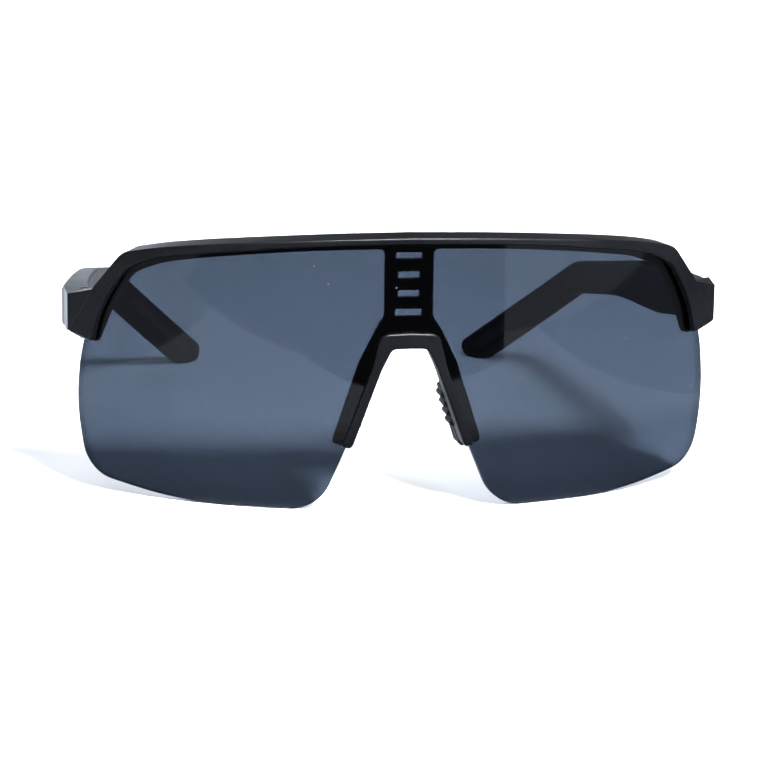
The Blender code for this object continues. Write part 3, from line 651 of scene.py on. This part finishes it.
def lay_inlay(name, grown, near, far, edge=0.0):
    """The tip's soft inlay, or its recess, laid on the temple's inner face."""
    corners = [(GRIP_START - grown, underside(GRIP_START, 1.3 - grown), 1.2),
               (GRIP_END + grown / 2, underside(GRIP_END, 1.6 - grown), 1.0),
               (GRIP_END + GRIP_LEAN + grown, underside(GRIP_END, 4.0 + grown / 2), 1.2),
               (GRIP_START + GRIP_LEAN - grown / 2, underside(GRIP_START, 3.6 + grown), 1.2)]
    flat = plate(name, [rounded(corners)], near, far, edge)

    def change(work):
        for index in range(math.ceil(GRIP_START), math.floor(GRIP_END + 2)):
            geometry = work.verts[:] + work.edges[:] + work.faces[:]
            bmesh.ops.bisect_plane(work, geom=geometry, plane_co=(index, 0, 0), plane_no=(1, 0, 0),
                                   dist=WELD)
        for vertex in work.verts:
            back, height, depth = vertex.co
            vertex.co = (smooth_value(INNER_PLAN, back) + depth, back, height)
    return edit(flat, change)


# ---------------------------------------------------------------- materials

def nodes_of(name):
    made = bpy.data.materials.new(name)
    made.use_nodes = True
    tree = made.node_tree
    return made, tree, tree.nodes["Principled BSDF"]


def link(tree, source, target):
    tree.links.new(source, target)


def add_node(tree, kind, **values):
    node = tree.nodes.new(kind)
    for key, value in values.items():
        setattr(node, key, value)
    return node


def noise(tree, scale, detail=3.0, stretch=(1, 1, 1)):
    """Noise over the object's own coordinates, in cycles per metre."""
    place = add_node(tree, "ShaderNodeTexCoord")
    mapping = add_node(tree, "ShaderNodeMapping")
    mapping.inputs["Scale"].default_value = stretch
    texture = add_node(tree, "ShaderNodeTexNoise")
    texture.inputs["Scale"].default_value = scale
    texture.inputs["Detail"].default_value = detail
    link(tree, place.outputs["Object"], mapping.inputs["Vector"])
    link(tree, mapping.outputs["Vector"], texture.inputs["Vector"])
    return texture.outputs["Fac"]


def ranged(tree, value, low, high, out_low, out_high):
    node = add_node(tree, "ShaderNodeMapRange")
    for key, number in (("From Min", low), ("From Max", high), ("To Min", out_low), ("To Max", out_high)):
        node.inputs[key].default_value = number
    link(tree, value, node.inputs["Value"])
    return node.outputs["Result"]


def blend_colours(tree, factor, first, second):
    node = add_node(tree, "ShaderNodeMix", data_type="RGBA")
    link(tree, factor, node.inputs["Factor"])
    node.inputs["A"].default_value = (*first, 1)
    node.inputs["B"].default_value = (*second, 1)
    return node.outputs["Result"]


def bumps(tree, shader, value, strength, distance):
    node = add_node(tree, "ShaderNodeBump")
    node.inputs["Strength"].default_value = strength
    node.inputs["Distance"].default_value = distance
    link(tree, value, node.inputs["Height"])
    link(tree, node.outputs["Normal"], shader.inputs["Normal"])


PLASTIC_DARK, PLASTIC_LIGHT = (0.0013, 0.0016, 0.0023), (0.0024, 0.0028, 0.0040)
PLASTIC_ROUGHNESS, PLASTIC_SPECULAR = 0.33, 0.3
RUBBER_DARK, RUBBER_LIGHT = (0.006, 0.006, 0.007), (0.013, 0.013, 0.015)
STEEL_DARK, STEEL_LIGHT = (0.25, 0.25, 0.27), (0.46, 0.46, 0.48)


def satin_plastic(name):
    """Moulded nylon: fine spark grain, slow changes of colour and gloss."""
    made, tree, shader = nodes_of(name)
    shader.inputs["Specular IOR Level"].default_value = PLASTIC_SPECULAR
    slow = noise(tree, 60, 2.0)
    fine = noise(tree, 2600, 2.0)
    link(tree, blend_colours(tree, ranged(tree, slow, 0.35, 0.65, 0, 1), PLASTIC_DARK, PLASTIC_LIGHT),
         shader.inputs["Base Color"])
    link(tree, ranged(tree, slow, 0.3, 0.7, PLASTIC_ROUGHNESS - 0.04, PLASTIC_ROUGHNESS + 0.05),
         shader.inputs["Roughness"])
    bumps(tree, shader, fine, 0.1, 0.00001)
    return made


def rubber(name):
    made, tree, shader = nodes_of(name)
    slow = noise(tree, 180, 3.0)
    link(tree, blend_colours(tree, slow, RUBBER_DARK, RUBBER_LIGHT), shader.inputs["Base Color"])
    link(tree, ranged(tree, slow, 0.3, 0.7, 0.5, 0.68), shader.inputs["Roughness"])
    bumps(tree, shader, noise(tree, 3500, 3.0), 0.4, 0.00005)
    return made


def steel(name):
    made, tree, shader = nodes_of(name)
    shader.inputs["Metallic"].default_value = 1.0
    brushed = noise(tree, 900, 4.0, (1, 1, 14))
    link(tree, blend_colours(tree, brushed, STEEL_DARK, STEEL_LIGHT), shader.inputs["Base Color"])
    link(tree, ranged(tree, brushed, 0.3, 0.7, 0.22, 0.42), shader.inputs["Roughness"])
    bumps(tree, shader, brushed, 0.2, 0.00002)
    return made


LENS_TINT = (0.174, 0.204, 0.251)   # what each of the lens's two faces lets through
EDGE_TINT = (0.12, 0.14, 0.175)     # the cut edge is seen through a long way of tinted sheet
LENS_SHINE = (0.05, 0.6)            # share reflected when seen square on, and at a grazing angle
SHINE_RISE = 4.0                    # how late that share rises as the view turns to grazing
DUST_COLOUR = (0.12, 0.12, 0.12)
DUST_CELLS, DUST_SIZE, DUST_SHARE = 330, 0.06, 0.05     # cells per metre, size of a speck in cells,
                                                        # and the share of cells that hold one


def specks(tree, scale, size, share):
    """A mask of scattered dust specks: one in a few of the cells holds a dot."""
    place = add_node(tree, "ShaderNodeTexCoord")
    cells = add_node(tree, "ShaderNodeTexVoronoi")
    cells.inputs["Scale"].default_value = scale
    link(tree, place.outputs["Object"], cells.inputs["Vector"])
    dot = ranged(tree, cells.outputs["Distance"], size * 0.5, size, 1, 0)
    pick = add_node(tree, "ShaderNodeSeparateColor")
    link(tree, cells.outputs["Color"], pick.inputs["Color"])
    chosen = ranged(tree, pick.outputs["Red"], 1 - share, 1 - share * 0.9, 0, 1)
    both = add_node(tree, "ShaderNodeMath", operation="MULTIPLY")
    link(tree, dot, both.inputs[0])
    link(tree, chosen, both.inputs[1])
    return both.outputs["Value"]


def smoke(name, tint):
    """Tinted polycarbonate: it tints what is behind it and reflects what is in front."""
    made, tree, shader = nodes_of(name)
    output = tree.nodes["Material Output"]
    tree.nodes.remove(shader)
    clear = add_node(tree, "ShaderNodeBsdfTransparent")
    clear.inputs["Color"].default_value = (*tint, 1)
    gloss = add_node(tree, "ShaderNodeBsdfGlossy")
    link(tree, ranged(tree, noise(tree, 45, 3.0), 0.3, 0.7, 0.015, 0.05), gloss.inputs["Roughness"])
    slant = add_node(tree, "ShaderNodeLayerWeight")
    slant.inputs["Blend"].default_value = 0.5
    steep = add_node(tree, "ShaderNodeMath", operation="POWER")
    link(tree, slant.outputs["Facing"], steep.inputs[0])
    steep.inputs[1].default_value = SHINE_RISE
    share = ranged(tree, steep.outputs["Value"], 0, 1, *LENS_SHINE)
    surface = add_node(tree, "ShaderNodeMixShader")
    link(tree, share, surface.inputs["Fac"])
    link(tree, clear.outputs["BSDF"], surface.inputs[1])
    link(tree, gloss.outputs["BSDF"], surface.inputs[2])
    dust = add_node(tree, "ShaderNodeBsdfDiffuse")
    dust.inputs["Color"].default_value = (*DUST_COLOUR, 1)
    dusty = add_node(tree, "ShaderNodeMixShader")
    link(tree, specks(tree, DUST_CELLS, DUST_SIZE, DUST_SHARE), dusty.inputs["Fac"])
    link(tree, surface.outputs["Shader"], dusty.inputs[1])
    link(tree, dust.outputs["BSDF"], dusty.inputs[2])
    link(tree, dusty.outputs["Shader"], output.inputs["Surface"])
    return made


# ---------------------------------------------------------------- assembly

SHARP_ANGLE = math.radians(38)


def place(piece, material, body, slot, *nodes):
    """Put a piece in the frame, in metres, and let it stand for its solids."""
    piece.data.transform(Matrix.Scale(MM, 4) @ Matrix.Translation((0, FRONT_Y, 0)))
    piece.data.shade_smooth()
    piece.data.set_sharp_from_angle(angle=SHARP_ANGLE)
    weighted = piece.modifiers.new("Weighted normals", "WEIGHTED_NORMAL")
    weighted.keep_sharp = True
    piece.data.materials.clear()
    piece.data.materials.append(material)
    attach(piece, body)
    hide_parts(*nodes)


def place_pair(piece, name, material, bodies, slot, node):
    """Place a right-hand piece and its left-hand twin."""
    twin = mirrored(piece, name + "_left")
    place(piece, material, bodies[0], slot, node + "_right")
    place(twin, material, bodies[1], slot, node + "_left")


def build_object():
    plastic = satin_plastic("satin_black_plastic")
    soft = rubber("soft_black_rubber")
    metal = steel("dark_steel")
    place(make_frame(), plastic, "front", "satin_black", "brow_frame")
    lens = make_lens()
    place(lens, smoke("smoke_lens", LENS_TINT), "front", "smoke_lens", "shield_lens")
    finish_edge(lens, smoke("smoke_lens_edge", EDGE_TINT))
    place(make_bridge(), plastic, "front", "satin_black", "nose_bridge")
    place_pair(make_pad(), "nose_pad_soft", soft, ("front", "front"), "soft_rubber", "nose_pad")
    temples = ("right_temple", "left_temple")
    place_pair(make_temple(), "temple_arm", plastic, temples, "satin_black", "temple")
    grip = lay_inlay("temple_grip_soft_right", 0.0, -GRIP_PROUD, GRIP_DEPTH, edge=GRIP_EDGE)
    place_pair(grip, "temple_grip_soft", soft, temples, "soft_rubber", "temple_grip")
    for name, node in frame["nodes"].items():
        if "screw" in name or "leaf" in name:
            node.data.materials.clear()
            node.data.materials.append(metal)


# ---------------------------------------------------------------- stage, light and camera

CAMERA_TURN, CAMERA_RAISE, CAMERA_ROLL = math.radians(7.45), math.radians(13.39), math.radians(0.74)
CAMERA_DISTANCE = 750.0
CAMERA_ACROSS, CAMERA_UP = -5.74, 28.45
CAMERA_LENS, CAMERA_SENSOR = 156.5, 36.0


FLOOR_SIZE, FLOOR_COLOUR, FLOOR_ROUGHNESS = 6.0, (0.93, 0.94, 0.95), 0.6
WALL_RADIUS, WALL_HEIGHT = 3.0, 8.0

CARD_COLOUR = (0.8, 0.88, 1.0)
TABLE_REACH = 3000.0                    # how far the cards on the table stretch
# Cards on the table hide the ones that lie lower
TABLE_HEIGHT, SIDE_HEIGHT, BACK_HEIGHT, FLAG_HEIGHT = 0.3, 0.6, 0.9, 1.2
TABLE_GLOW, LEFT_GLOW, RIGHT_GLOW, BACK_GLOW = 0.75, 0.3, 0.2, 2.0
BEYOND_GLOW, FLAG_GLOW, WINDOW_GLOW = 0.5, 0.06, 1.5
LEFT_EDGE, RIGHT_EDGE = -180, 150       # where the cards to the sides begin
BACK_RIGHT, BACK_NEAR = -60, 30         # right and near edges of the bright card behind
FOOT_LIFT = 0.1                         # each foot card lies this much higher than the one before
FLAG_NEAR = 150.0                       # the dark flag's distance in front of the lens
FLAG_LEFT = -230.0
FLAG_EDGE = math.radians(31.5)          # turn of the flag's right edge
FLAG_EDGE_START = 23.5                  # where that edge would meet the lens
# Foot cards are painted shade in what the lens reflects: they are dimmer the nearer they lie to the lens,
# and darken its lower part so that the shadow band seen through it stays dark
FOOT_SHADE_CARDS = ((76.0, 0.6), (68.0, 0.45), (60.0, 0.3), (52.0, 0.15))     # reach and glow
FOOT_CARD_START = -1.0                  # their inner edge lies just behind the lens's face
MIRROR_STEPS, MIRROR_STEP = 21, 2       # steps to each side, and the degrees in one


def make_stage():
    floor = add_object("floor", bpy.data.meshes.new("floor"))
    edit(floor, lambda work: bmesh.ops.create_grid(work, x_segments=1, y_segments=1, size=FLOOR_SIZE))
    made, _, shader = nodes_of("pale_floor")
    shader.inputs["Base Color"].default_value = (*FLOOR_COLOUR, 1)
    shader.inputs["Roughness"].default_value = FLOOR_ROUGHNESS
    floor.data.materials.append(made)
    make_backdrop()
    make_cards()


def glowing(name, colour, glow):
    """A material that only shines."""
    made, tree, shader = nodes_of(name)
    tree.nodes.remove(shader)
    lit = add_node(tree, "ShaderNodeEmission")
    lit.inputs["Color"].default_value = (*colour, 1)
    lit.inputs["Strength"].default_value = glow
    link(tree, lit.outputs["Emission"], tree.nodes["Material Output"].inputs["Surface"])
    return made


def make_backdrop():
    """A pale round wall far behind, which reflections don't see."""
    wall = add_object("backdrop", bpy.data.meshes.new("backdrop"))
    edit(wall, lambda work: bmesh.ops.create_cone(work, cap_ends=False, segments=96, depth=WALL_HEIGHT,
                                                  radius1=WALL_RADIUS, radius2=WALL_RADIUS))
    wall.data.materials.append(glowing("pale_wall", (1.0, 1.0, 1.0), 1.0))
    wall.visible_glossy = wall.visible_diffuse = wall.visible_shadow = False


def reflection_card(name, corners, glow):
    """A card that only reflections see: the floor that the camera sees is overexposed."""
    card = add_object(name, bpy.data.meshes.new(name))

    def build(work):
        work.faces.new([work.verts.new((x * MM, (FRONT_Y + y) * MM, z * MM)) for x, y, z in corners])
    edit(card, build)
    card.data.materials.append(glowing(name, CARD_COLOUR, glow))
    card.visible_camera = card.visible_diffuse = card.visible_transmission = False
    card.visible_shadow = False


def lay_card(name, low, high, height, glow):
    """A rectangular card on the table, between two corners seen from above."""
    corners = (low, (high[0], low[1]), high, (low[0], high[1]))
    reflection_card(name, [(*corner, height) for corner in corners], glow)


def mirror_edge(reach, height):
    """Places, from side to side, at one reach from the lens along the mirrored lines of sight."""
    places = []
    for step in range(-MIRROR_STEPS, MIRROR_STEPS + 1):
        angle = math.radians(MIRROR_STEP * step)
        toward = 2 * angle + CAMERA_TURN
        places.append((LENS_RADIUS * math.sin(angle) + reach * math.sin(toward),
                       LENS_RADIUS * (1 - math.cos(angle)) - reach * math.cos(toward), height))
    return places


def edge_at(distance):
    """How far right the flag's right edge is, at a distance in front of the lens."""
    return FLAG_EDGE_START + distance * math.tan(FLAG_EDGE)


def make_cards():
    """What the table and the room look like to the lens and the plastics."""
    far, near = TABLE_REACH, FLAG_NEAR
    lay_card("card_table", (-far, -far), (far, far), TABLE_HEIGHT, TABLE_GLOW)
    # The foot cards paint shade into the lower lens's reflection, dimmest nearest the lens
    for index, (reach, glow) in enumerate(FOOT_SHADE_CARDS):
        height = BACK_HEIGHT + FOOT_LIFT * index
        outer, inner = mirror_edge(reach, height), mirror_edge(FOOT_CARD_START, height)
        reflection_card("card_foot_shade_%d" % index, outer + inner[::-1], glow)
    lay_card("card_left", (-far, -far), (LEFT_EDGE, far), SIDE_HEIGHT, LEFT_GLOW)
    lay_card("card_right", (RIGHT_EDGE, -near * 2), (far, far), SIDE_HEIGHT, RIGHT_GLOW)
    lay_card("card_back_left", (-far, BACK_NEAR), (BACK_RIGHT, far), BACK_HEIGHT, BACK_GLOW)
    beyond = ((edge_at(near), -near), (edge_at(far), -far), (far, -far), (far, -near / 2),
              (near * 2, -near / 2))
    reflection_card("card_beyond", [(*corner, BACK_HEIGHT) for corner in beyond], BEYOND_GLOW)
    flag = ((FLAG_LEFT, -near), (FLAG_LEFT / 3, -near * 0.95), (0, -near * 0.7),
            (edge_at(near * 0.8), -near * 0.8), (edge_at(far), -far), (FLAG_LEFT * 5, -far))
    reflection_card("card_flag", [(*corner, FLAG_HEIGHT) for corner in flag], FLAG_GLOW)
    window = ((-260, 380, 35), (10, 380, 35), (10, 380, 140), (-260, 380, 140))
    reflection_card("card_window", window, WINDOW_GLOW)


def add_light(name, place_at, aim, size, power):
    """A soft rectangular lamp that looks at a point."""
    lamp = bpy.data.lights.new(name, "AREA")
    lamp.shape = "RECTANGLE"
    lamp.size, lamp.size_y = size
    lamp.energy = power
    made = bpy.data.objects.new(name, lamp)
    bpy.context.scene.collection.objects.link(made)
    made.location = place_at
    made.rotation_euler = (Vector(aim) - Vector(place_at)).to_track_quat("-Z", "Y").to_euler()
    return made


WORLD_COLOUR = (0.9, 0.94, 1.0)
HORIZON_LIGHT, SKY_LIGHT = 0.5, 0.06
HORIZON_TOP, SKY_BOTTOM = math.sin(math.radians(5)), math.sin(math.radians(11))


def make_world():
    """Pale walls round the set up to just above the horizon, and a dim room over them."""
    world = bpy.data.worlds.new("studio")
    bpy.context.scene.world = world
    world.use_nodes = True
    tree = world.node_tree
    background = tree.nodes["Background"]
    background.inputs["Color"].default_value = (*WORLD_COLOUR, 1)
    direction = add_node(tree, "ShaderNodeTexCoord")
    split = add_node(tree, "ShaderNodeSeparateXYZ")
    link(tree, direction.outputs["Generated"], split.inputs["Vector"])
    link(tree, ranged(tree, split.outputs["Z"], HORIZON_TOP, SKY_BOTTOM, HORIZON_LIGHT, SKY_LIGHT),
         background.inputs["Strength"])


OBJECT = (0, 0, 0)
KEY_TURN, KEY_RAISE, KEY_DISTANCE = math.radians(22), math.radians(44), 0.9
KEY_SIZE, KEY_POWER = (0.19, 0.19), 38
SOFTBOX_SIZE, SOFTBOX_POWER = (0.6, 0.6), 6.5
STRIP_TURN, STRIP_RAISE = math.radians(20), math.radians(68)    # 1 m away
STRIP_SIZE, STRIP_POWER = (0.5, 0.15), 28
PANEL_PLACE, PANEL_AIM = (0, 0.1, 1.5), (0, 0.1, 0)
PANEL_SIZE, PANEL_POWER = (1.8, 1.8), 22
WASH_PLACE, WASH_AIM = (0, 1.6, 1.4), (0, 1.8, 0)
WASH_SIZE, WASH_POWER = (2.0, 1.0), 40


def aimed(turn, raise_by):
    """A direction from the object, turned from straight ahead towards +X and raised."""
    return Vector((math.sin(turn) * math.cos(raise_by), -math.cos(turn) * math.cos(raise_by),
                   math.sin(raise_by)))


def make_light():
    """A key lamp from the upper right front, a soft panel overhead and a wash on the floor behind.

    The lamp itself is too small and bright to be mirrored: a wide, dim softbox in its place is,
    and a strip higher up draws the thin bright lines along the rounded edges.
    """
    make_world()
    toward = aimed(KEY_TURN, KEY_RAISE)
    key = add_light("key", toward * KEY_DISTANCE, OBJECT, KEY_SIZE, KEY_POWER)
    softbox = add_light("softbox", toward * KEY_DISTANCE, OBJECT, SOFTBOX_SIZE, SOFTBOX_POWER)
    strip = add_light("strip", aimed(STRIP_TURN, STRIP_RAISE), OBJECT, STRIP_SIZE, STRIP_POWER)
    softbox.visible_diffuse = strip.visible_diffuse = False
    panel = add_light("overhead", PANEL_PLACE, PANEL_AIM, PANEL_SIZE, PANEL_POWER)
    wash = add_light("wash", WASH_PLACE, WASH_AIM, WASH_SIZE, WASH_POWER)
    key.visible_glossy = panel.visible_glossy = wash.visible_glossy = False
    bpy.context.scene.view_settings.view_transform = "Standard"


def make_camera():
    """A long lens, from the front, a little to the left and above."""
    back = Vector((-math.sin(CAMERA_TURN) * math.cos(CAMERA_RAISE),
                   -math.cos(CAMERA_TURN) * math.cos(CAMERA_RAISE), math.sin(CAMERA_RAISE)))
    right = (-back).cross(Vector((0, 0, 1))).normalized()
    up = right.cross(-back)
    place_at = Vector((0, FRONT_Y, 0)) + right * CAMERA_ACROSS + up * CAMERA_UP + back * CAMERA_DISTANCE
    roll_by = Matrix.Rotation(CAMERA_ROLL, 3, back)
    turn = Matrix((roll_by @ right, roll_by @ up, back)).transposed()
    camera = bpy.data.cameras.new("camera")
    camera.lens = CAMERA_LENS
    camera.sensor_width = CAMERA_SENSOR
    camera.clip_start, camera.clip_end = 0.01, 50.0
    made = bpy.data.objects.new("camera", camera)
    bpy.context.scene.collection.objects.link(made)
    made.matrix_world = Matrix.Translation(place_at * MM) @ turn.to_4x4()
    bpy.context.scene.camera = made


make_camera()
build_object()
make_stage()
make_light()
